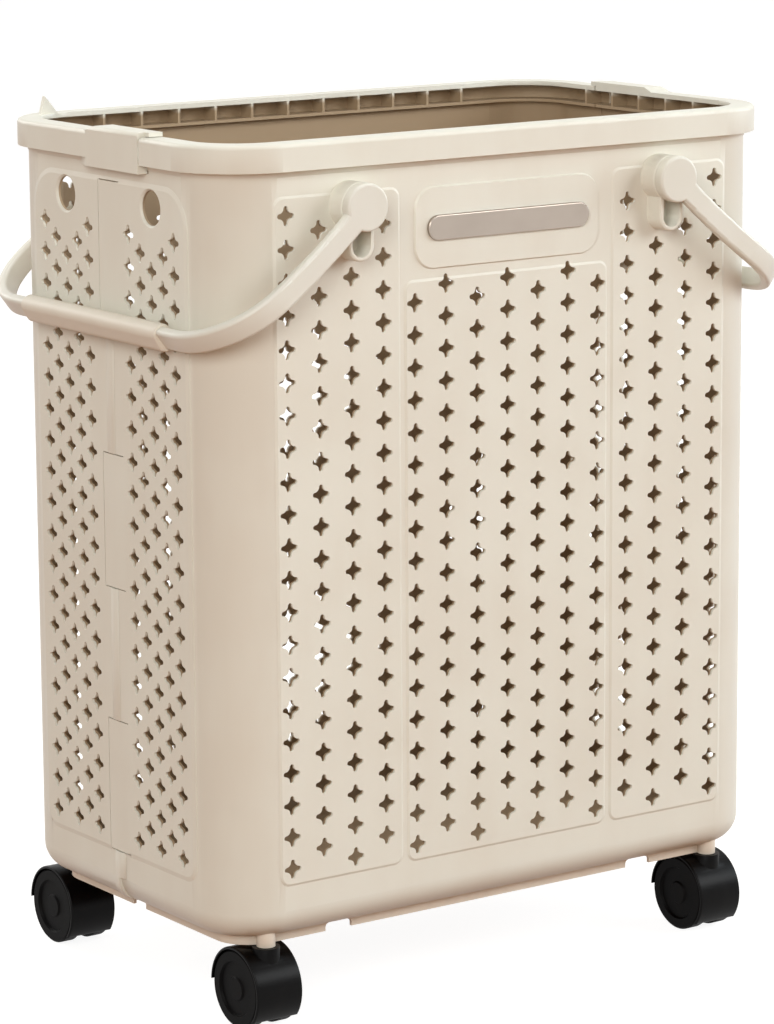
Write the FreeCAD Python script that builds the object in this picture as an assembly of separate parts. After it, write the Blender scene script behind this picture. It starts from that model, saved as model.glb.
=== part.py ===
import FreeCAD, Part
import math
import os

V = FreeCAD.Vector
X_AXIS, Y_AXIS, Z_AXIS = V(1, 0, 0), V(0, 1, 0), V(0, 0, 1)

# ---------------------------------------------------------------- driving dimensions, mm
# Z is up from the floor, the front faces -Y, and the two end walls face -X and +X.
body_length = 431.0
body_depth = 255.0
corner_radius = 42.0
bottom_radius = 18.0
wall = 2.4
body_bottom = 60.0

# rim: a band that stands out from the wall, with a top plate over the channel behind it
rim_top = 559.5
rim_overhang = 7.0
rim_band = 17.0
rim_plate = 3.0
rim_plate_inward = 8.5
rib_pitch = 29.0
rib_thickness = 1.8
ledge_height = 545.0
ledge_thickness = 2.0
ledge_width = 6.0

# perforation: four-pointed holes in staggered columns
star_reach = 6.2
star_tip_radius = 1.6
star_waist = 3.6
star_pitch = 20.5
front_columns = 15
front_pitch = 24.0
front_first = 105.0
end_columns = 5
end_pitch = 13.1
end_gap = 48.7
end_first = 107.7

# raised panels, with sloping edges
panel_bottom = 94.0
panel_raise = 0.8
panel_slope = 1.6
centre_panel_half = 80.0
centre_panel_top = 468.0
side_panel_inner, side_panel_outer = 83.0, 177.0
side_panel_top = 527.0
end_panel_half = 91.5
end_panel_top = 531.0
plaque_length, plaque_height, plaque_centre, plaque_raise = 145.0, 52.0, 499.5, 1.4
badge_length, badge_height, badge_raise = 126.0, 16.0, 2.2

# centre seam of the end walls
finger_count = 5
finger_bottom, finger_top = 95.6, 528.8
finger_reach = 10.3
finger_lap = 1.2
finger_slot_reach = 13.5
finger_gap = 0.7
seam_gap = 0.1
bead_radius, bead_raise = 16.0, 0.8

# rim joint over that seam: one half's rim reaches past the seam, the other's is cut short
cap_overlap, cap_root = 47.0, 14.0
cap_gap = 1.5
cap_bottom = 537.0
cap_top_raise = 3.0
tongue_reach, tongue_thickness = 5.0, 2.6

# handles
pivot_x, pivot_z = 121.5, 518.7
pad_radius = 15.0
pad_proud = 14.5
pad_foot_half = 9.5
pad_bottom = 484.7
keyhole_half = 6.8
pin_radius = 6.0
running_gap = 0.05
disc_radius = 15.0
disc_gap = 0.8
strap_thickness = 7.0
strap_width = 15.0
strap_rounding = 2.4
arm_length = 130.5
arm_bow = 3.5
bail_bend = 50.0
rest_droop = 37.0
grip_length, grip_height, grip_thickness = 161.0, 17.8, 12.6
finger_hole_radius, finger_hole_z = 11.0, 516.0

# base tray
tray_inset = 17.5
tray_bottom, tray_plate_bottom = 53.7, 57.5
floor_inset, floor_top, floor_thickness = 24.4, 66.0, 2.5
skirt_thickness = 2.2
notch_width = 20.0
end_notch = (-14.0, 1.0)

# casters
caster_x, caster_y = 179.0, 113.0
socket_radius, socket_bottom, socket_top = 6.0, 53.6, 74.0
stem_radius, stem_bottom, stem_top = 3.5, 36.0, 70.0
caster_trail = 11.4
wheel_radius, wheel_width = 25.0, 10.4
hood_inner, hood_outer, hood_width = 25.7, 27.4, 34.0
neck_radius, neck_foot = 8.8, 31.0
hood_toe = 8.0
web_half = 5.5
axle_radius = 2.5

half_x, half_y = body_length / 2, body_depth / 2
rim_underside = rim_top - rim_band
pad_face = half_y + pad_proud
disc_face = pad_face + disc_gap
parts = {}


# ---------------------------------------------------------------- building blocks
def box(x0, x1, y0, y1, z0, z1):
    return Part.makeBox(x1 - x0, y1 - y0, z1 - z0, V(x0, y0, z0))


def cylinder(radius, start, direction, length):
    return Part.makeCylinder(radius, length, V(*start), direction)


def is_along(edge, axis):
    """True for a straight edge parallel to the axis."""
    if not isinstance(edge.Curve, Part.Line):
        return False
    return abs(abs(edge.Curve.Direction.dot(axis)) - 1) < 1e-6


def edges_at_height(shape, z):
    return [e for e in shape.Edges if abs(e.BoundBox.ZMin - z) < 1e-6 and abs(e.BoundBox.ZMax - z) < 1e-6]


def fuse(shapes):
    return shapes[0].fuse(shapes[1:]).removeSplitter() if len(shapes) > 1 else shapes[0]


def rounded_box(x0, x1, y0, y1, z0, z1, radius, axis):
    """A box whose four edges along the axis are rounded."""
    solid = box(x0, x1, y0, y1, z0, z1)
    return solid.makeFillet(radius, [e for e in solid.Edges if is_along(e, axis)])


def body_prism(offset, z0, z1):
    """The basket's plan outline grown by offset, as an upright prism."""
    x, y = half_x + offset, half_y + offset
    return rounded_box(-x, x, -y, y, z0, z1, corner_radius + offset, Z_AXIS)


def body_wire(offset, z):
    prism = body_prism(offset, z, z + 1)
    return min(prism.Faces, key=lambda face: face.CenterOfMass.z).OuterWire


def flare(offset_low, z_low, offset_high, z_high):
    """Straight-sided transition between two grown outlines."""
    return Part.makeLoft([body_wire(offset_low, z_low), body_wire(offset_high, z_high)], True, True)


def export(name, shape):
    parts[name] = shape
    shape.exportStep(os.path.join("parts", name + ".step"))


# ---------------------------------------------------------------- perforation
def star_face():
    """Four-pointed hole in the XY plane: four round tips joined by hollow sides."""
    shoulder = star_reach - star_tip_radius
    waist = star_waist * math.sqrt(0.5)
    edges = []
    for quarter in range(4):
        def turned(x, y, angle=quarter * math.pi / 2):
            return V(x * math.cos(angle) - y * math.sin(angle), x * math.sin(angle) + y * math.cos(angle), 0)
        tip = [turned(shoulder, -star_tip_radius), turned(star_reach, 0), turned(shoulder, star_tip_radius)]
        side = [tip[2], turned(waist, waist), turned(star_tip_radius, shoulder)]
        edges.append(Part.Arc(*tip).toShape())
        edges.append(Part.Arc(*side).toShape())
    return Part.Face(Part.Wire(edges))


def column_heights(first, stagger, top):
    """Hole heights of one column, from its lowest up to the given top."""
    start = first + (star_pitch / 2 if stagger else 0)
    count = int(round((top - start) / star_pitch)) + 1
    return [start + star_pitch * row for row in range(count)]


def front_column_top(column):
    """The columns stop lower under the plaque and under the handle pads."""
    from_edge = min(column, front_columns - 1 - column)
    tops = {0: 515.0, 1: 504.8, 2: 474.0, 3: 504.8}
    return tops.get(from_edge, 453.5 if column % 2 == 0 else 463.8)


def front_holes():
    """Prisms along Y that cut the front wall."""
    upright = star_face()
    upright.rotate(V(), X_AXIS, 90)
    holes = []
    for column in range(front_columns):
        x = (column - (front_columns - 1) / 2) * front_pitch
        for z in column_heights(front_first, column % 2, front_column_top(column)):
            hole = upright.extrude(V(0, 2 * wall + 4, 0))
            holes.append(hole.translated(V(x, -half_y - 4, z)))
    return holes


def end_holes(side):
    """Prisms along X that cut the front half of one end wall, with the round finger hole."""
    upright = star_face()
    upright.rotate(V(), Y_AXIS, 90)
    tops = [497.0, 487.0, 476.7, 487.0, 497.0]
    start_x = side * half_x - wall - 3
    holes = []
    for column in range(end_columns):
        y = -(end_gap / 2 + column * end_pitch)
        for z in column_heights(end_first, column % 2, tops[column]):
            hole = upright.extrude(V(2 * wall + 4, 0, 0))
            holes.append(hole.translated(V(start_x, y, z)))
    middle = -(end_gap / 2 + end_pitch * (end_columns - 1) / 2)
    holes.append(cylinder(finger_hole_radius, (start_x, middle, finger_hole_z), X_AXIS, 2 * wall + 4))
    mouth = Part.makeCone(finger_hole_radius, finger_hole_radius + 2.5, 2.5, V(), V(side, 0, 0))
    holes.append(mouth.translated(V(side * (half_x + panel_raise - 1.2), middle, finger_hole_z)))
    return holes


# ---------------------------------------------------------------- half shells
def grown_body(offset):
    """The basket below its rim, grown by offset, with its rounded bottom edge."""
    solid = body_prism(offset, body_bottom, rim_underside)
    return solid.makeFillet(bottom_radius, edges_at_height(solid, body_bottom))


def basket_outside():
    rim = body_prism(rim_overhang, rim_underside, rim_top)
    rim = rim.makeFillet(2.8, edges_at_height(rim, rim_top))
    hollow_low = flare(0, rim_underside - 4, 1.4, rim_underside - 1.2)
    hollow_high = flare(1.4, rim_underside - 1.2, 4.5, rim_underside)
    return fuse([grown_body(0), hollow_low, hollow_high, rim])


def basket_inside():
    floor = body_bottom + wall
    channel_bottom = rim_underside + 2.5
    lower = body_prism(-wall, floor, channel_bottom)
    lower = lower.makeFillet(bottom_radius - wall, edges_at_height(lower, floor))
    channel = body_prism(rim_overhang - 2.5, channel_bottom, rim_top - rim_plate)
    mouth = body_prism(-rim_plate_inward, rim_top - rim_plate - 1, rim_top + 1)
    floor_opening = body_prism(-floor_inset + 0.3, body_bottom - 1, floor + 1)
    return fuse([lower, channel, mouth, floor_opening])


def rim_ribs(outside):
    """Ledge inside the wall and the ribs between it and the rim plate."""
    ledge_inner = wall + ledge_width
    ledge_top = ledge_height + ledge_thickness
    ledge = body_prism(rim_overhang - 2, ledge_height, ledge_top)
    ledge = ledge.cut(body_prism(-ledge_inner, ledge_height - 1, ledge_top + 1))
    blades = []
    for direction, reach, run in ((0, half_x, half_y), (1, half_y, half_x)):
        count = int((reach - corner_radius) // rib_pitch)
        for index in range(-count, count + 1):
            at, far = index * rib_pitch, run + rim_overhang
            low, high = at - rib_thickness / 2, at + rib_thickness / 2
            span = (low, high, -far, far) if direction == 0 else (-far, far, low, high)
            blades.append(box(*span, ledge_top - 0.5, rim_top - 1))
    web = outside.cut(body_prism(-ledge_inner, body_bottom, rim_top + 1))
    return [ledge] + [blade.common(web) for blade in blades]


def sloped_panel(low, high, radii, base, raise_by, slope):
    """Panel over the rectangle low-high in the XY plane, its face smaller than its foot by the slope.

    radii gives the lower and the upper corner radius; base is how deep the foot is set in."""
    def layer(shrink, height):
        left, bottom = low[0] + shrink, low[1] + shrink
        right, top = high[0] - shrink, high[1] - shrink
        plate = box(left, right, bottom, top, height, height + 1)
        upright = [e for e in plate.Edges if is_along(e, Z_AXIS)]
        plate = plate.makeFillet(radii[0] - shrink, [e for e in upright if e.BoundBox.YMin < (bottom + top) / 2])
        upright = [e for e in plate.Edges if is_along(e, Z_AXIS) and e.BoundBox.YMin > (bottom + top) / 2]
        corners = [e for e in upright if abs(e.BoundBox.YMin - top) < 1e-6]
        plate = plate.makeFillet(radii[1] - shrink, corners)
        return min(plate.Faces, key=lambda face: face.CenterOfMass.z).OuterWire
    foot = Part.Face(layer(0, -base)).extrude(V(0, 0, base))
    return foot.fuse(Part.makeLoft([layer(0, 0), layer(slope, raise_by)], True, True))


def front_panels():
    """Raised panels of the front wall: two side panels, the centre panel and the plaque."""
    def panel(x0, x1, z0, z1, raise_by, radius, slope):
        solid = sloped_panel((x0, z0), (x1, z1), (radius, radius), 1.0, raise_by, slope)
        solid.rotate(V(), X_AXIS, 90)
        return solid.translated(V(0, -half_y, 0))
    plaque_low, plaque_high = plaque_centre - plaque_height / 2, plaque_centre + plaque_height / 2
    side = (panel_bottom, side_panel_top, panel_raise, 7, panel_slope)
    return [
        panel(-side_panel_outer, -side_panel_inner, *side),
        panel(side_panel_inner, side_panel_outer, *side),
        panel(-centre_panel_half, centre_panel_half, panel_bottom, centre_panel_top, panel_raise, 7, panel_slope),
        panel(-plaque_length / 2, plaque_length / 2, plaque_low, plaque_high, plaque_raise, 15, 1.0)]


def end_panel(side):
    """Raised panel of one end wall, over both halves of it."""
    panel = sloped_panel((-end_panel_half, panel_bottom), (end_panel_half, end_panel_top), (12, 25), 1.0,
                         panel_raise, 2 * panel_slope)
    panel.rotate(V(), X_AXIS, 90)
    panel.rotate(V(), Z_AXIS, 90)
    panel = panel.translated(V(half_x, 0, 0))
    if side < 0:
        panel.rotate(V(), Z_AXIS, 180)
    return panel


def handle_pad(x):
    """Pad that carries a handle pivot: a round head over a narrower foot."""
    head = cylinder(pad_radius, (x, -half_y + 1, pivot_z), -Y_AXIS, pad_proud + 1)
    foot_centre = pad_bottom + pad_foot_half
    foot = box(x - pad_foot_half, x + pad_foot_half, -pad_face, -half_y + 1, foot_centre, pivot_z)
    toe = cylinder(pad_foot_half, (x, -half_y + 1, foot_centre), -Y_AXIS, pad_proud + 1)
    pad = fuse([head, foot, toe])
    front = [e for e in pad.Edges if abs(e.BoundBox.YMax + pad_face) < 1e-6]
    return pad.makeFillet(1.5, front)


def pad_recesses(x):
    """Keyhole below the pivot, its slot through the wall, and the pin bore."""
    centre = pad_bottom + pad_foot_half
    keyhole = box(x - keyhole_half, x + keyhole_half, -pad_face - 1, -half_y - 0.5, centre, pivot_z - 10.5)
    toe = cylinder(keyhole_half, (x, -half_y - 0.5, centre), -Y_AXIS, pad_proud + 1)
    slot = box(x - 4, x + 4, -half_y - 2, -half_y + wall + 1, pivot_z - 22, pivot_z - 12)
    bore = cylinder(pin_radius + running_gap, (x, -half_y + wall + 1, pivot_z), -Y_AXIS, pad_proud + wall + 2)
    return [keyhole, toe, slot, bore]


def finger_range(index):
    step = (finger_top - finger_bottom) / finger_count
    return finger_bottom + index * step, finger_bottom + (index + 1) * step


def left_fingers():
    """Tabs of the left end, flush with its panel, that lap over the neighbouring half's end wall."""
    face = half_x + panel_raise
    ranges = [finger_range(index) for index in range(0, finger_count, 2)]
    return [box(-face, -half_x + finger_lap, -finger_reach, finger_reach, low + finger_gap / 2, high - finger_gap / 2)
            for low, high in ranges]


def left_finger_slots():
    """Slots that carry the top and bottom outline of each tab on to the left end's own wall."""
    slots = []
    for index in range(0, finger_count, 2):
        for z in finger_range(index):
            slots.append(box(-half_x - 3, -half_x + finger_lap, -finger_slot_reach, 1, z - finger_gap / 2,
                             z + finger_gap / 2))
    return slots


def right_rebates():
    """Room in the right end's wall for the neighbouring half's tabs."""
    rebates = []
    for index in range(0, finger_count, 2):
        low, high = finger_range(index)
        rebates.append(box(half_x - finger_lap, half_x + 5, -finger_reach - finger_gap, 20, low - finger_gap / 2,
                           high + finger_gap / 2))
    return rebates


def seam_bead():
    """Low round bead of the right end that covers the joint with the neighbouring half."""
    centre_x = half_x + panel_raise + bead_raise - bead_radius
    round_bar = cylinder(bead_radius, (centre_x, 0, body_bottom), Z_AXIS, finger_top - body_bottom)
    round_bar = round_bar.common(grown_body(panel_raise + bead_raise))
    own_side = round_bar.common(box(half_x - 12, half_x + 5, -9, 0.01, body_bottom, finger_top)).cut(basket_inside())
    neighbour = fuse([grown_body(seam_gap), end_panel(1).translated(V(seam_gap, 0, 0))])
    far_side = round_bar.common(box(half_x - 1, half_x + 5, 0, 9, body_bottom + bottom_radius, finger_top))
    return own_side.fuse(far_side.cut(neighbour))


def rim_cap(outside):
    """Thicker end of the rim over the seam: a skirt below the rim's band and a raised top."""
    cap_top = rim_top + cap_top_raise
    plate = body_prism(rim_overhang, cap_bottom, cap_top)
    plate = plate.makeFillet(2.5, edges_at_height(plate, cap_top))
    plate = plate.cut([body_prism(-rim_plate_inward, cap_bottom - 1, cap_top + 1), outside])
    start = -cap_root
    plan = [V(half_x - 30, start - 18, 0), V(half_x, start - 18, 0), V(half_x + rim_overhang + 1, start + 2, 0),
            V(half_x + rim_overhang + 1, cap_overlap, 0), V(half_x - 30, cap_overlap, 0)]
    plan_window = Part.Face(Part.makePolygon(plan + plan[:1])).extrude(V(0, 0, 30))
    side = [V(0, start - 30, cap_bottom), V(0, start - 30, rim_top), V(0, start, rim_top),
            V(0, start + 10, cap_top + 1), V(0, cap_overlap, cap_top + 1), V(0, cap_overlap, cap_bottom)]
    side_window = Part.Face(Part.makePolygon(side + side[:1])).extrude(V(half_x + 20, 0, 0))
    cap = plate.common(plan_window.translated(V(0, 0, cap_bottom))).common(side_window)
    tongue = body_prism(1.5, cap_top - tongue_thickness, cap_top).cut(
        body_prism(-rim_plate_inward, cap_bottom, cap_top + 1))
    tongue = tongue.common(box(half_x - 30, half_x + 20, start + 12, cap_overlap + tongue_reach, 0, cap_top + 1))
    return fuse([cap, tongue])


def half_region():
    """Space of the front half: past the seam in the right end's rim, short of it in the left end's."""
    far_x, far_y, top = half_x + 20, half_y + 20, rim_top + 20
    right = box(0, far_x, -far_y, -seam_gap / 2, 0, top)
    left_low = box(-far_x, 0.01, -far_y, -seam_gap / 2, 0, cap_bottom - seam_gap)
    left_high = box(-far_x, 0.01, -far_y, -cap_overlap - cap_gap, 0, top)
    lap = rounded_box(half_x - 40, far_x, -20, cap_overlap, cap_bottom, top, 4, X_AXIS)
    return fuse([right, left_low, left_high, lap])


def half_shell():
    """Front half: its left end carries the seam tabs, its right end the bead, the lap and the rim cap."""
    outside = basket_outside()
    region = half_region()
    solid = [outside.cut(basket_inside()).common(region)]
    solid += [detail.common(region) for detail in rim_ribs(outside) + [end_panel(-1), end_panel(1)]]
    solid += front_panels()
    solid += [handle_pad(-pivot_x), handle_pad(pivot_x), seam_bead(), rim_cap(outside)]
    cuts = front_holes() + end_holes(-1) + end_holes(1) + left_finger_slots() + right_rebates()
    cuts += pad_recesses(-pivot_x) + pad_recesses(pivot_x)
    for x in (-pivot_x, pivot_x):
        cuts.append(cylinder(12, (x, -half_y + wall, pivot_z), Y_AXIS, 12))
    for x in (-caster_x, caster_x):
        cuts.append(cylinder(socket_radius + 0.2, (x, -caster_y, body_bottom - 1), Z_AXIS, 30))
    shell = fuse([s for s in solid if s.Volume > 0]).cut(cuts)
    return fuse([shell] + left_fingers())


def rear_lug():
    """Small upright lug at the inner edge of the rear rim, near its left corner."""
    left, peak, right, top = -194.0, -190.5, -180.0, rim_top + 11.5
    corners = [V(left, 117.5, rim_top - 1), V(peak, 117.5, top), V(right, 117.5, rim_top - 1)]
    return Part.Face(Part.makePolygon(corners + corners[:1])).extrude(V(0, 3, 0))


def badge():
    """Plain bar with round ends on the plaque."""
    back = -half_y - plaque_raise
    low, high = plaque_centre - badge_height / 2, plaque_centre + badge_height / 2
    bar = rounded_box(-badge_length / 2, badge_length / 2, back - badge_raise, back, low, high,
                      badge_height / 2 - 0.01, Y_AXIS)
    return bar.makeFillet(1.0, [e for e in bar.Edges if abs(e.BoundBox.YMax - back + badge_raise) < 1e-6])


# ---------------------------------------------------------------- base tray
def base_tray():
    plate = body_prism(-tray_inset, tray_plate_bottom, body_bottom)
    skirt = body_prism(-tray_inset, tray_bottom, tray_plate_bottom)
    skirt = skirt.cut(body_prism(-tray_inset - skirt_thickness, tray_bottom - 1, tray_plate_bottom + 1))
    floor = body_prism(-floor_inset, body_bottom, floor_top)
    hollow = body_prism(-floor_inset - floor_thickness, tray_bottom - 1, floor_top - floor_thickness)
    rib_box = body_prism(-floor_inset - 1, tray_plate_bottom, floor_top - 1)
    ribs = [box(-half_x, half_x, y - 1, y + 1, tray_plate_bottom, floor_top).common(rib_box) for y in (-50, 0, 50)]
    ribs += [box(x - 1, x + 1, -half_y, half_y, tray_plate_bottom, floor_top).common(rib_box)
             for x in (-120, -60, 0, 60, 120)]
    tray = fuse([plate.fuse([skirt, floor]).cut(hollow)] + ribs)
    cuts = []
    for x in (-pivot_x, pivot_x):
        cuts.append(rounded_box(x - notch_width / 2, x + notch_width / 2, -half_y, half_y, tray_bottom - 9,
                                tray_plate_bottom + 1.5, 3, Y_AXIS))
    right_notch = rounded_box(half_x - 30, half_x, *end_notch, tray_bottom - 9, tray_plate_bottom + 1.5, 3, X_AXIS)
    left_notch = right_notch.copy()
    left_notch.rotate(V(), Z_AXIS, 180)
    cuts += [right_notch, left_notch]
    cuts += [cylinder(socket_radius, (x, y, tray_bottom - 1), Z_AXIS, 20) for x, y in caster_places()]
    return tray.cut(cuts)


# ---------------------------------------------------------------- handles
def bowed_slab(height):
    """Slab of the given height, level at mid-length, that follows the bow of the handle's arms."""
    rise = arm_bow
    radius = (arm_length ** 2 / 4 + rise ** 2) / (2 * rise)
    start, end = -arm_length - 12, 16
    centre_x, centre_z = -arm_length / 2, radius - rise
    angles = [math.asin((x - centre_x) / radius) for x in (start, centre_x, end)]

    def arc(offset):
        reach = radius + offset
        return [V(centre_x + reach * math.sin(a), 0, centre_z - reach * math.cos(a)) for a in angles]
    low, high = arc(height / 2), arc(-height / 2)
    edges = [Part.Arc(*low).toShape(), Part.makeLine(low[2], high[2]), Part.Arc(*high[::-1]).toShape(),
             Part.makeLine(high[0], low[0])]
    return Part.Face(Part.Wire(edges)).extrude(V(0, 2 * half_y + 80, 0)).translated(V(0, -half_y - 40, 0))


def bail():
    """Left handle with its pivot at the origin, the line from pivot to grip level, and its grip towards -X."""
    outer_y, inner_y = disc_face + strap_thickness, disc_face
    reach_out, reach_in = arm_length + strap_thickness / 2, arm_length - strap_thickness / 2

    def plate(reach, half, bend):
        solid = box(-reach, 0, -half, half, -40, 40)
        far = [e for e in solid.Edges if is_along(e, Z_AXIS) and e.BoundBox.XMin < -1]
        return solid.makeFillet(bend, far)
    inner = plate(reach_in, inner_y, bail_bend - strap_thickness / 2)
    strap = plate(reach_out, outer_y, bail_bend + strap_thickness / 2).cut(inner)
    strap = strap.common(bowed_slab(strap_width))
    along = [e for e in strap.Edges if not is_along(e, Z_AXIS) and e.BoundBox.XMin < -1]
    solids = [strap.makeFillet(strap_rounding, along)]
    for side in (-1, 1):
        disc = cylinder(disc_radius, (0, side * inner_y, 0), V(0, side, 0), strap_thickness)
        face = [e for e in disc.Edges if abs(abs(e.BoundBox.YMin) - outer_y) < 1e-6 and e.Length > 50]
        solids.append(disc.makeFillet(1.8, face))
        solids.append(cylinder(pin_radius, (0, side * inner_y, 0), V(0, -side, 0), inner_y - half_y + wall + 0.3))
        solids.append(cylinder(3.5, (0, side * inner_y, 0), V(0, -side, 0), inner_y - half_y + wall + 4))
    return fuse(solids)


def grip(bail_solid):
    """Sleeve round the strap's far side, turned with the bow of the arms."""
    half_height, half_thickness = grip_height / 2, grip_thickness / 2
    bar = box(-half_thickness, half_thickness, -grip_length / 2, grip_length / 2, -half_height, half_height)
    bar = bar.makeFillet(5.5, [e for e in bar.Edges if is_along(e, Y_AXIS)])
    bar = bar.makeFillet(1.2, [e for e in bar.Edges if abs(abs(e.BoundBox.YMin) - grip_length / 2) < 1e-6
                               and abs(e.BoundBox.YLength) < 1e-6])
    bar.rotate(V(), Y_AXIS, math.degrees(math.atan(4 * arm_bow / arm_length)))
    return bar.translated(V(-arm_length, 0, 0)).cut(bail_solid)


def pivot_cap(side):
    """Washer that holds the pin behind the wall."""
    start = (0, side * (half_y - wall - 0.3), 0)
    return cylinder(10, start, V(0, -side, 0), 3).cut(cylinder(3.5, start, V(0, -side, 0), 3))


def placed_handle(shape, right):
    """Hang the handle from its pivot; the right one is the left one turned round."""
    placed = shape.copy()
    placed.rotate(V(), Y_AXIS, -rest_droop)
    placed.translate(V(-pivot_x, 0, pivot_z))
    if right:
        placed.rotate(V(), Z_AXIS, 180)
    return placed


# ---------------------------------------------------------------- casters
def caster_places():
    return [(x, y) for y in (-caster_y, caster_y) for x in (-caster_x, caster_x)]


def caster_socket(x, y):
    """Tube through the tray and the shell's bottom edge, with a blind bore for the stem."""
    tube = cylinder(socket_radius, (x, y, socket_bottom), Z_AXIS, socket_top - socket_bottom)
    return tube.cut(cylinder(stem_radius, (x, y, socket_bottom - 1), Z_AXIS, stem_top - socket_bottom + 1))


def caster_stem(x, y):
    return cylinder(stem_radius, (x, y, stem_bottom), Z_AXIS, stem_top - stem_bottom)


def caster_hood(x, y):
    """Web between the wheels, hood over them, and the neck round the stem."""
    wheel_y, half = y + caster_trail, hood_width / 2

    def disc(radius, half_width):
        return cylinder(radius, (x - half_width, wheel_y, wheel_radius), X_AXIS, 2 * half_width)
    web = disc(hood_inner + 0.3, web_half).cut(box(x - 20, x + 20, y - 60, y + 60, -5, 13))
    shell = disc(hood_outer, half)
    rim_edges = [e for e in shell.Edges if e.Length > 100 and not is_along(e, X_AXIS)]
    shell = shell.makeFillet(1.2, rim_edges).cut(disc(hood_inner, half + 1))
    below_rear = box(x - half - 1, x + half + 1, wheel_y, wheel_y + 40, -20, wheel_radius + 1)
    front_toe = box(x - half - 1, x + half + 1, wheel_y - 40, wheel_y + 1, -20, hood_toe)
    shell = shell.cut([below_rear, front_toe])
    neck = cylinder(neck_radius, (x, y, neck_foot), Z_AXIS, socket_bottom - 0.2 - neck_foot)
    for side in (-1, 1):
        start = x + side * web_half
        neck = neck.cut(cylinder(hood_inner, (start, wheel_y, wheel_radius), V(side, 0, 0), 10))
    bore = cylinder(stem_radius + running_gap, (x, y, stem_bottom - 0.3), Z_AXIS, 30)
    hub = cylinder(axle_radius, (x - 20, wheel_y, wheel_radius), X_AXIS, 40)
    return fuse([web, shell, neck]).cut([bore, hub])


def caster_axle(x, y):
    half = web_half + 0.5 + wheel_width - 2.2
    return cylinder(axle_radius, (x - half, y + caster_trail, wheel_radius), X_AXIS, 2 * half)


def caster_wheel(x, y, side):
    """Dished wheel: tread, outer disc with a raised ring, and a blind hub round the axle."""
    inner = web_half + 0.5
    outer = inner + wheel_width
    profile = [(axle_radius + running_gap, inner), (6, inner), (6, outer - 4), (19.5, outer - 4), (19.5, inner),
               (wheel_radius - 0.8, inner), (wheel_radius, inner + 0.8), (wheel_radius, outer - 1.2),
               (wheel_radius - 1.2, outer), (18, outer), (17, outer - 1.6), (8, outer - 1.6), (7, outer - 0.6),
               (0, outer - 0.6), (0, outer - 1.9), (axle_radius + running_gap, outer - 1.9)]
    points = [V(side * along, radius, 0) for radius, along in profile]
    wheel = Part.Face(Part.makePolygon(points + points[:1])).revolve(V(), X_AXIS, 360)
    return wheel.translated(V(x, y + caster_trail, wheel_radius))


# ---------------------------------------------------------------- build
os.makedirs("parts", exist_ok=True)

front = half_shell()
rear = front.copy()
rear.rotate(V(), Z_AXIS, 180)
export("front_shell", front)
export("rear_shell", rear.fuse(rear_lug()))
export("badge", badge())
export("base_tray", base_tray())

left_bail = bail()
for handle, is_right in (("left", False), ("right", True)):
    export(handle + "_handle_bail", placed_handle(left_bail, is_right))
    export(handle + "_handle_grip", placed_handle(grip(left_bail), is_right))
    for end, side in (("front", -1), ("rear", 1)):
        turned_side = -side if is_right else side
        export(handle + "_" + end + "_pivot_cap", placed_handle(pivot_cap(turned_side), is_right))

for (x, y), corner in zip(caster_places(), ("front_left", "front_right", "rear_left", "rear_right")):
    export(corner + "_socket", caster_socket(x, y))
    export(corner + "_stem", caster_stem(x, y))
    export(corner + "_hood", caster_hood(x, y))
    export(corner + "_axle", caster_axle(x, y))
    export(corner + "_wheel_left", caster_wheel(x, y, -1))
    export(corner + "_wheel_right", caster_wheel(x, y, 1))

for name, shape in parts.items():
    print(name, "solids", len(shape.Solids), "valid", shape.isValid(), "volume", round(shape.Volume))
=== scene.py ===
# %% [markdown]
# # Rolling laundry basket
# A tall cream basket made of two moulded half shells on a base tray, with two swinging handles
# and four black twin-wheel casters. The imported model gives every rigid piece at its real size.
# This script gives those pieces their finishes and softens their edges.

# %% Load the frame
import math

import bpy
from mathutils import Matrix, Vector


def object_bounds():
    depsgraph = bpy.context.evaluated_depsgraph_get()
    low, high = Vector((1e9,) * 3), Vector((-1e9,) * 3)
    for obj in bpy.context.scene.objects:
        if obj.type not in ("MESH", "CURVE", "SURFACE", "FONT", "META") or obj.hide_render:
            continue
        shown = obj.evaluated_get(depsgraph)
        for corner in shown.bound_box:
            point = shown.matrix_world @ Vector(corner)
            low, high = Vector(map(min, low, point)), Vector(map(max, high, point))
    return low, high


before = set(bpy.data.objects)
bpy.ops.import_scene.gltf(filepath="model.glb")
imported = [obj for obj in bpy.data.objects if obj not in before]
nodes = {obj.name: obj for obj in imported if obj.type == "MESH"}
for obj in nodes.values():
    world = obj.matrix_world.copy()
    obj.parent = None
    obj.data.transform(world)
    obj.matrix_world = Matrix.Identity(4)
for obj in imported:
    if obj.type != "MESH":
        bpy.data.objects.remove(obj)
cad_low, cad_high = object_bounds()
scene = bpy.context.scene
MM = 0.001
print("frame", len(nodes), "nodes", [round(v, 3) for v in cad_high - cad_low])

# %% [markdown]
# ## Camera
# A long lens looks from the front left, slightly above the rim. Two angles and a distance from a
# point near the basket's middle place the camera, so each number has a meaning of its own. The
# roll is the small tilt of the camera about its own axis.

# %% Camera
AZIMUTH, ELEVATION, ROLL = math.radians(-35.11), math.radians(11.19), math.radians(-0.38)
DISTANCE, LENS = 2.702, 142.97
AIM = Vector((-0.0029, 0.0020, 0.2923))

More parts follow.
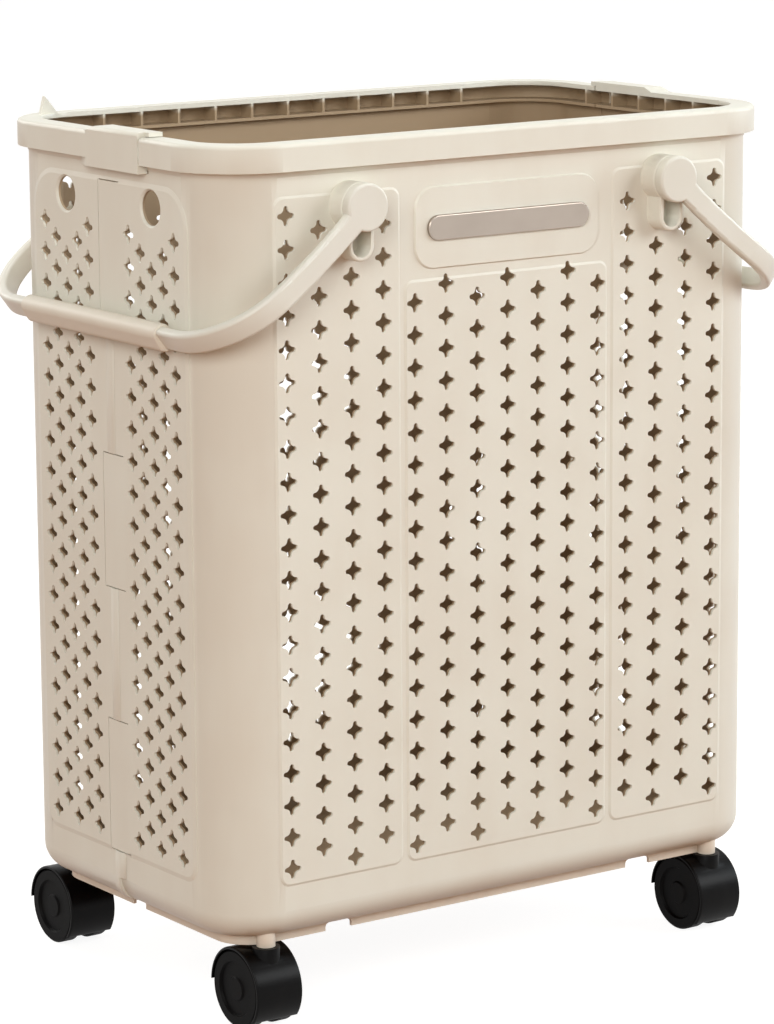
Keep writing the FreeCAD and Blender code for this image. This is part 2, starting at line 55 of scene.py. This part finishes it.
backwards = Vector((math.sin(AZIMUTH) * math.cos(ELEVATION),
                    -math.cos(AZIMUTH) * math.cos(ELEVATION),
                    math.sin(ELEVATION)))
camera_data = bpy.data.cameras.new("camera")
camera_data.lens = LENS
camera = bpy.data.objects.new("camera", camera_data)
camera.location = AIM + backwards * DISTANCE
camera.rotation_mode = "QUATERNION"
level = (-backwards).to_track_quat("-Z", "Y")
camera.rotation_quaternion = level @ Matrix.Rotation(ROLL, 3, "Z").to_quaternion()
scene.collection.objects.link(camera)
scene.camera = camera
scene.view_settings.view_transform = "Standard"
print("camera at", [round(v, 3) for v in camera.location])

# %% [markdown]
# ## Light
# Moulded plastic shows its form by slow gradients, so the lamps are large. The key lights the
# front wall, and the fill keeps the end wall on the left readable. The cool side lamp lifts the
# right-hand corner, and the back lamp does the same for the rear wall. The lamp above is small
# and far away: it draws the rim and the handles, and its beam falls down the well without
# touching the inner walls.

# %% Light
LAMP_TARGET = Vector((0, 0, 0.3))


def area_light(name, location, size, power, colour):
    data = bpy.data.lights.new(name, "AREA")
    data.shape = "RECTANGLE"
    data.size, data.size_y = size
    data.energy = power
    data.color = colour
    lamp = bpy.data.objects.new(name, data)
    lamp.location = location
    lamp.rotation_mode = "QUATERNION"
    lamp.rotation_quaternion = (LAMP_TARGET - lamp.location).to_track_quat("-Z", "Y")
    scene.collection.objects.link(lamp)
    print("lamp", name, power, "W")


area_light("key", (1.9, -2.5, 1.75), (1.5, 1.3), 40, (0.965, 0.99, 1))
area_light("fill", (-2.1, -1.95, 1.6), (1.4, 1.4), 49, (0.99, 1, 0.985))
area_light("side", (2.7, -0.9, 1.1), (1.2, 1.2), 42, (0.78, 0.91, 1))
area_light("back", (-0.9, 2.9, 1.6), (1.6, 1.4), 30, (1, 0.99, 0.97))
area_light("top", (0.2, 0.5, 3.6), (0.7, 0.7), 38, (1, 0.995, 0.975))

# %% [markdown]
# ## Shader sums
# A finish is a short piece of arithmetic on textures. `Wire` wraps one output socket, so that
# `grain * 0.2 + 0.5` adds the Math nodes itself. `Finish` holds one material's nodes, and its
# method `add` makes any other node.

# %% Shader helpers
class Wire:
    """Output socket of a node, ready for sums."""

    def __init__(self, finish, socket):
        self.finish = finish
        self.socket = socket

    def __add__(self, other):
        return self.finish.math("ADD", self, other)

    __radd__ = __add__

    def __mul__(self, other):
        return self.finish.math("MULTIPLY", self, other)

    __rmul__ = __mul__

    def __sub__(self, other):
        return self.finish.math("SUBTRACT", self, other)

    def __rsub__(self, other):
        return self.finish.math("SUBTRACT", other, self)


class Finish:
    """One material, or another holder of nodes, and the nodes that make it."""

    def __init__(self, name, holder=None):
        self.material = holder or bpy.data.materials.new(name)
        self.material.use_nodes = True
        self.tree = self.material.node_tree
        self.shader = self.tree.nodes.get("Principled BSDF")

    def math(self, operation, *values):
        return self.add("ShaderNodeMath", {"operation": operation}, dict(enumerate(values)))

    def feed(self, socket, value):
        if isinstance(value, Wire):
            self.tree.links.new(value.socket, socket)
        else:
            socket.default_value = value

    def add(self, kind, settings=None, inputs=None, output=0):
        node = self.tree.nodes.new(kind)
        for key, value in (settings or {}).items():
            setattr(node, key, value)
        for key, value in (inputs or {}).items():
            self.feed(node.inputs[key], value)
        return Wire(self, node.outputs[output])

    def place(self):
        """Place on the object, in metres."""
        return self.add("ShaderNodeTexCoord", output="Object")

    def noise(self, size, detail=2.0, roughness=0.5, stretch=(1, 1, 1)):
        """Noise whose grains are about size metres wide, longer along an axis stretched over 1."""
        scale = [1 / factor for factor in stretch]
        spot = self.add("ShaderNodeVectorMath", {"operation": "MULTIPLY"},
                        {0: self.place(), 1: scale})
        values = {"Vector": spot, "Scale": 1 / size, "Detail": detail, "Roughness": roughness}
        return self.add("ShaderNodeTexNoise", inputs=values)

    def between(self, value, low, high):
        """0 below low, 1 above high, smooth between."""
        values = {"Value": value, "From Min": low, "From Max": high}
        return self.add("ShaderNodeMapRange", {"interpolation_type": "SMOOTHSTEP"}, values)

    def mix(self, amount, first, second):
        """First colour at 0, second at 1. The node keeps its colours in sockets 6 and 7."""
        settings = {"data_type": "RGBA"}
        return self.add("ShaderNodeMix", settings, {0: amount, 6: first, 7: second}, output=2)

    def bump(self, height, depth, normal=None):
        """Relief of this depth in metres, on top of another relief if one is given."""
        values = {"Height": height, "Distance": depth, "Strength": 1.0}
        if normal:
            values["Normal"] = normal
        return self.add("ShaderNodeBump", inputs=values)

    def surface(self, **values):
        """Set the shader's sockets by name, with _ for a space."""
        for key, value in values.items():
            self.feed(self.shader.inputs[key.replace("_", " ")], value)
        return self.material


def colour(red, green, blue):
    """Screen colour, 0 to 255, as a linear shader colour."""
    linear = []
    for level in (red / 255, green / 255, blue / 255):
        linear.append(level / 12.92 if level < 0.04045 else ((level + 0.055) / 1.055) ** 2.4)
    return (*linear, 1.0)


print("shader helpers ready, mid grey is", round(colour(128, 128, 128)[0], 3))

# %% [markdown]
# ## Studio
# The room is brighter near the horizon than overhead, as a studio with pale walls is, so the
# well of the basket stays dim. The camera, and what shines or lets light through, sees plain
# white instead. The floor works the same way: it looks white and keeps the shadow, but the
# light that it sends up is the dim warm light of a wooden floor.

# %% Studio
ROOM_LIGHT = 0.74
HORIZON, OVERHEAD = colour(240, 235, 227), colour(150, 145, 138)
WALL_FADE = (0.05, 0.75)                         # upward part of the ray over which walls darken


def seen_directly(finish):
    """1 for camera, mirror and glass rays, 0 for the light that falls on the object."""
    kinds = ("Is Camera Ray", "Is Glossy Ray", "Is Transmission Ray")
    camera_ray, glossy_ray, clear_ray = (finish.add("ShaderNodeLightPath", output=kind)
                                         for kind in kinds)
    return finish.math("MAXIMUM", finish.math("MAXIMUM", camera_ray, glossy_ray), clear_ray)


def studio_walls():
    world = bpy.data.worlds.new("studio")
    world.use_nodes = True
    scene.world = world
    finish = Finish("", world)
    view = finish.add("ShaderNodeTexCoord", output="Generated")
    height = finish.add("ShaderNodeSeparateXYZ", inputs={0: view}, output="Z")
    overhead = finish.between(height, *WALL_FADE)
    walls = finish.mix(overhead, HORIZON, OVERHEAD)
    room = finish.add("ShaderNodeBackground", inputs={"Color": walls, "Strength": ROOM_LIGHT})
    white = finish.add("ShaderNodeBackground", inputs={"Color": (1, 1, 1, 1), "Strength": 1.0})
    both = finish.add("ShaderNodeMixShader", inputs={0: seen_directly(finish), 1: room, 2: white})
    finish.tree.links.new(both.socket, finish.tree.nodes["World Output"].inputs["Surface"])


studio_walls()
print("room light", ROOM_LIGHT)

# %% [markdown]
# ## Painted shade inside the basket
# The inner faces have a darker, browner colour and a less glossy finish than the outer ones. The
# colour is painted shade, standing in for the shade down in the basket's well. Their mask is the
# body's own outline, a box with rounded corners and a rounded bottom edge. It starts just under
# the outer face, so the sides of the holes and the grooves get the painted shade too. It takes in
# the channel under the rim's top plate, which gets painted shade as well, and stops at that plate.

# %% Painted shade inside the basket
HALF_LENGTH, HALF_DEPTH, CORNER = 215.5 * MM, 127.5 * MM, 42.0 * MM
BOTTOM, BOTTOM_ROUND = 60.0 * MM, 18.0 * MM
# painted shade: the darker inner colour begins this deep in the wall, so hole sides and grooves
# darken too
IN_WALL = (0.4 * MM, 1.2 * MM)                   # the tone comes in over this depth of the wall
RIM_PLATE = (553 * MM, 557 * MM)                 # and fades over this height under the rim's plate
CHANNEL_FLOOR = (544.5 * MM, 545.5 * MM)
CHANNEL_REACH = (5 * MM, 6 * MM)                 # how far the channel stands out from the wall


def rounded(finish, first, second, radius):
    """Distance outside a corner of this radius, from two distances past the corner's centre."""
    first, second = finish.math("MAXIMUM", first, 0), finish.math("MAXIMUM", second, 0)
    return finish.math("SQRT", first * first + second * second) - radius


def painted_shade_mask(finish):
    """Mask of the painted shade: 1 on the inner faces of the walls and on the basket's floor, 0
    outside.
    """
    x, y, z = (finish.add("ShaderNodeSeparateXYZ", inputs={0: finish.place()}, output=axis)
               for axis in "XYZ")
    along = finish.math("ABSOLUTE", x) - (HALF_LENGTH - CORNER)
    across = finish.math("ABSOLUTE", y) - (HALF_DEPTH - CORNER)
    outside = rounded(finish, along, across, CORNER)
    outside = rounded(finish, outside + BOTTOM_ROUND, (BOTTOM + BOTTOM_ROUND) - z, BOTTOM_ROUND)
    below_plate = 1 - finish.between(z, *RIM_PLATE)
    in_wall = finish.between(0 - outside, *IN_WALL)
    in_reach = 1 - finish.between(outside, *CHANNEL_REACH)
    # the channel under the rim's plate gets the painted shade as well
    in_channel = finish.between(z, *CHANNEL_FLOOR) * in_reach
    return finish.math("MAXIMUM", in_wall, in_channel) * below_plate


# the printed depth is where the painted shade begins
print("inner tone starts", round(1000 * IN_WALL[0], 1), "mm inside the outer face")

# %% [markdown]
# ## Cream plastic
# Moulded polypropylene is almost one colour. What makes it read as real is a faint cloudiness
# from the melt, a fine spark-eroded grain that breaks up the highlight, and a slow waviness
# where thick and thin parts shrink differently. On the inner faces the colour is painted shade.

# %% Cream plastic
# painted shade: a darker brown for the inner faces, hole sides and grooves, where the well lies in
# shade
INNER_PAINTED_SHADE = colour(164, 141, 112)
GRAIN_DEPTH, WAVE_DEPTH = 0.02 * MM, 0.4 * MM


def cream_plastic(name, base, deep, gloss):
    finish = Finish(name)
    cloud = finish.noise(90 * MM, detail=3)
    flow = finish.noise(20 * MM, detail=2, stretch=(1, 1, 4))
    grain = finish.noise(0.6 * MM, detail=2, roughness=0.6)
    wave = finish.noise(45 * MM, detail=1)
    tone = finish.between(cloud * 0.7 + flow * 0.3, 0.35, 0.65)
    skin = finish.bump(grain, GRAIN_DEPTH, finish.bump(wave, WAVE_DEPTH))
    # mask of the painted shade, which also makes the inner faces rougher
    shade_inside = painted_shade_mask(finish)
    outer_tone = finish.mix(tone, colour(*deep), colour(*base))
    # the inner faces get the painted shade colour instead of the cream
    return finish.surface(Base_Color=finish.mix(shade_inside, outer_tone, INNER_PAINTED_SHADE),
                          Roughness=gloss + grain * 0.12 + shade_inside * 0.2, Normal=skin)


shell_finish = cream_plastic("cream_shell", (224, 222, 210), (220, 216, 203), 0.40)
handle_finish = cream_plastic("cream_handle", (221, 219, 209), (217, 214, 202), 0.36)
grip_finish = cream_plastic("cream_grip", (224, 218, 204), (219, 211, 196), 0.46)
tray_finish = cream_plastic("cream_tray", (231, 222, 207), (226, 215, 199), 0.42)
print("cream finishes for shells, handles, grips and tray")

# %% [markdown]
# ## Badge metal
# The badge is plastic with a satin metal coat in a pale champagne tone. Its brushing runs along
# the bar, so the bump noise is stretched that way.

# %% Badge metal
def badge_metal():
    finish = Finish("champagne_metal")
    brushing = finish.noise(0.4 * MM, detail=2, stretch=(40, 1, 1))
    cloud = finish.noise(30 * MM, detail=2)
    tint = finish.mix(cloud, colour(160, 148, 137), colour(176, 163, 152))
    return finish.surface(Base_Color=tint, Metallic=1.0, Roughness=0.26 + brushing * 0.1,
                          Normal=finish.bump(brushing, 0.02 * MM))


badge_finish = badge_metal()
print("badge finish", badge_finish.name)

# %% [markdown]
# ## Black nylon and steel
# The caster hoods are satin black with a soft highlight. The wheels are the same nylon, worn dull
# and a little grey with dust where they roll. The steel pins keep a fine grain left by turning.

# %% Black nylon and steel
def black_nylon(name, roughness, dust, gleam):
    finish = Finish(name)
    speck = finish.noise(0.8 * MM, detail=3, roughness=0.65)
    smear = finish.noise(12 * MM, detail=4)
    worn = finish.between(smear, 0.45, 0.75) * dust
    tint = finish.mix(worn, colour(5, 4, 4), colour(34, 32, 30))
    return finish.surface(Base_Color=tint, Roughness=roughness + speck * 0.14 + worn * 0.3,
                          Specular_IOR_Level=gleam, Normal=finish.bump(speck, 0.03 * MM))


def turned_steel():
    finish = Finish("turned_steel")
    grain = finish.noise(0.3 * MM, detail=1)
    tint = finish.mix(grain, colour(158, 158, 160), colour(180, 180, 182))
    return finish.surface(Base_Color=tint, Metallic=1.0, Roughness=0.3 + grain * 0.15,
                          Normal=finish.bump(grain, 0.01 * MM))


hood_finish = black_nylon("black_hood", 0.24, 0.10, 0.1)
wheel_finish = black_nylon("black_wheel", 0.42, 0.2, 0.05)
steel_finish = turned_steel()
print("caster finishes", hood_finish.name, wheel_finish.name, steel_finish.name)

# %% [markdown]
# ## Dressing the pieces
# Every CAD node keeps its shape. It gets its finish, a weld joins the points that the file format
# split, and a narrow bevel rounds the sharp edges so that they catch the light.

# %% Dress the CAD nodes
# each kind of piece: its finish and the width of its rounded edges in mm
FINISHES = {"shell": (shell_finish, 0.5), "badge": (badge_finish, 0.25), "tray": (tray_finish, 0.4),
            "bail": (handle_finish, 0.4), "grip": (grip_finish, 0.5), "cap": (tray_finish, 0.4),
            "socket": (tray_finish, 0.4), "stem": (steel_finish, 0.2), "hood": (hood_finish, 0.4),
            "axle": (steel_finish, 0.2), "wheel": (wheel_finish, 0.3)}
WELD_DISTANCE = 0.002 * MM
SHARP_ANGLE = math.radians(38)


def soften(piece, width):
    weld = piece.modifiers.new("weld", "WELD")
    weld.merge_threshold = WELD_DISTANCE
    bevel = piece.modifiers.new("round edges", "BEVEL")
    bevel.width = width * MM
    bevel.segments = 2
    bevel.limit_method = "ANGLE"
    bevel.angle_limit = SHARP_ANGLE
    bevel.harden_normals = True


def dress(name):
    piece = nodes[name]
    word = next(w for w in FINISHES if w in name.split("_"))
    material, width = FINISHES[word]
    piece.data.materials.clear()
    piece.data.materials.append(material)
    soften(piece, width)


for node_name in nodes:
    dress(node_name)
print("dressed", len(nodes), "nodes")

# %% [markdown]
# ## Floor
# A plain pale sheet under the casters. The camera sees it white, with light of its own, so that
# it meets the white background without a line and the shadow stays soft. The object gets the
# light of a wooden floor from it.

# %% Floor
FLOOR_HALF = 30.0                                # metres, far enough to reach the horizon
FLOOR_HEIGHT = cad_low.z - 0.2 * MM
WOOD = colour(146, 90, 42)


def floor_sheet():
    mesh = bpy.data.meshes.new("floor")
    corners = [(x * FLOOR_HALF, y * FLOOR_HALF, FLOOR_HEIGHT)
               for x, y in ((-1, -1), (1, -1), (1, 1), (-1, 1))]
    mesh.from_pydata(corners, [], [(0, 1, 2, 3)])
    floor = bpy.data.objects.new("floor", mesh)
    scene.collection.objects.link(floor)
    finish = Finish("pale_floor")
    mottle = finish.noise(0.3, detail=2)
    tint = finish.mix(mottle, colour(140, 138, 134), colour(148, 146, 143))
    finish.surface(Base_Color=tint, Roughness=0.9, Specular_IOR_Level=0.1,
                   Emission_Color=(1, 1, 1, 1), Emission_Strength=0.9)
    wood = finish.add("ShaderNodeBsdfDiffuse", inputs={"Color": WOOD})
    pale = Wire(finish, finish.shader.outputs["BSDF"])
    both = finish.add("ShaderNodeMixShader", inputs={0: seen_directly(finish), 1: wood, 2: pale})
    finish.tree.links.new(both.socket, finish.tree.nodes["Material Output"].inputs["Surface"])
    mesh.materials.append(finish.material)


floor_sheet()
print("floor at", round(FLOOR_HEIGHT, 4))
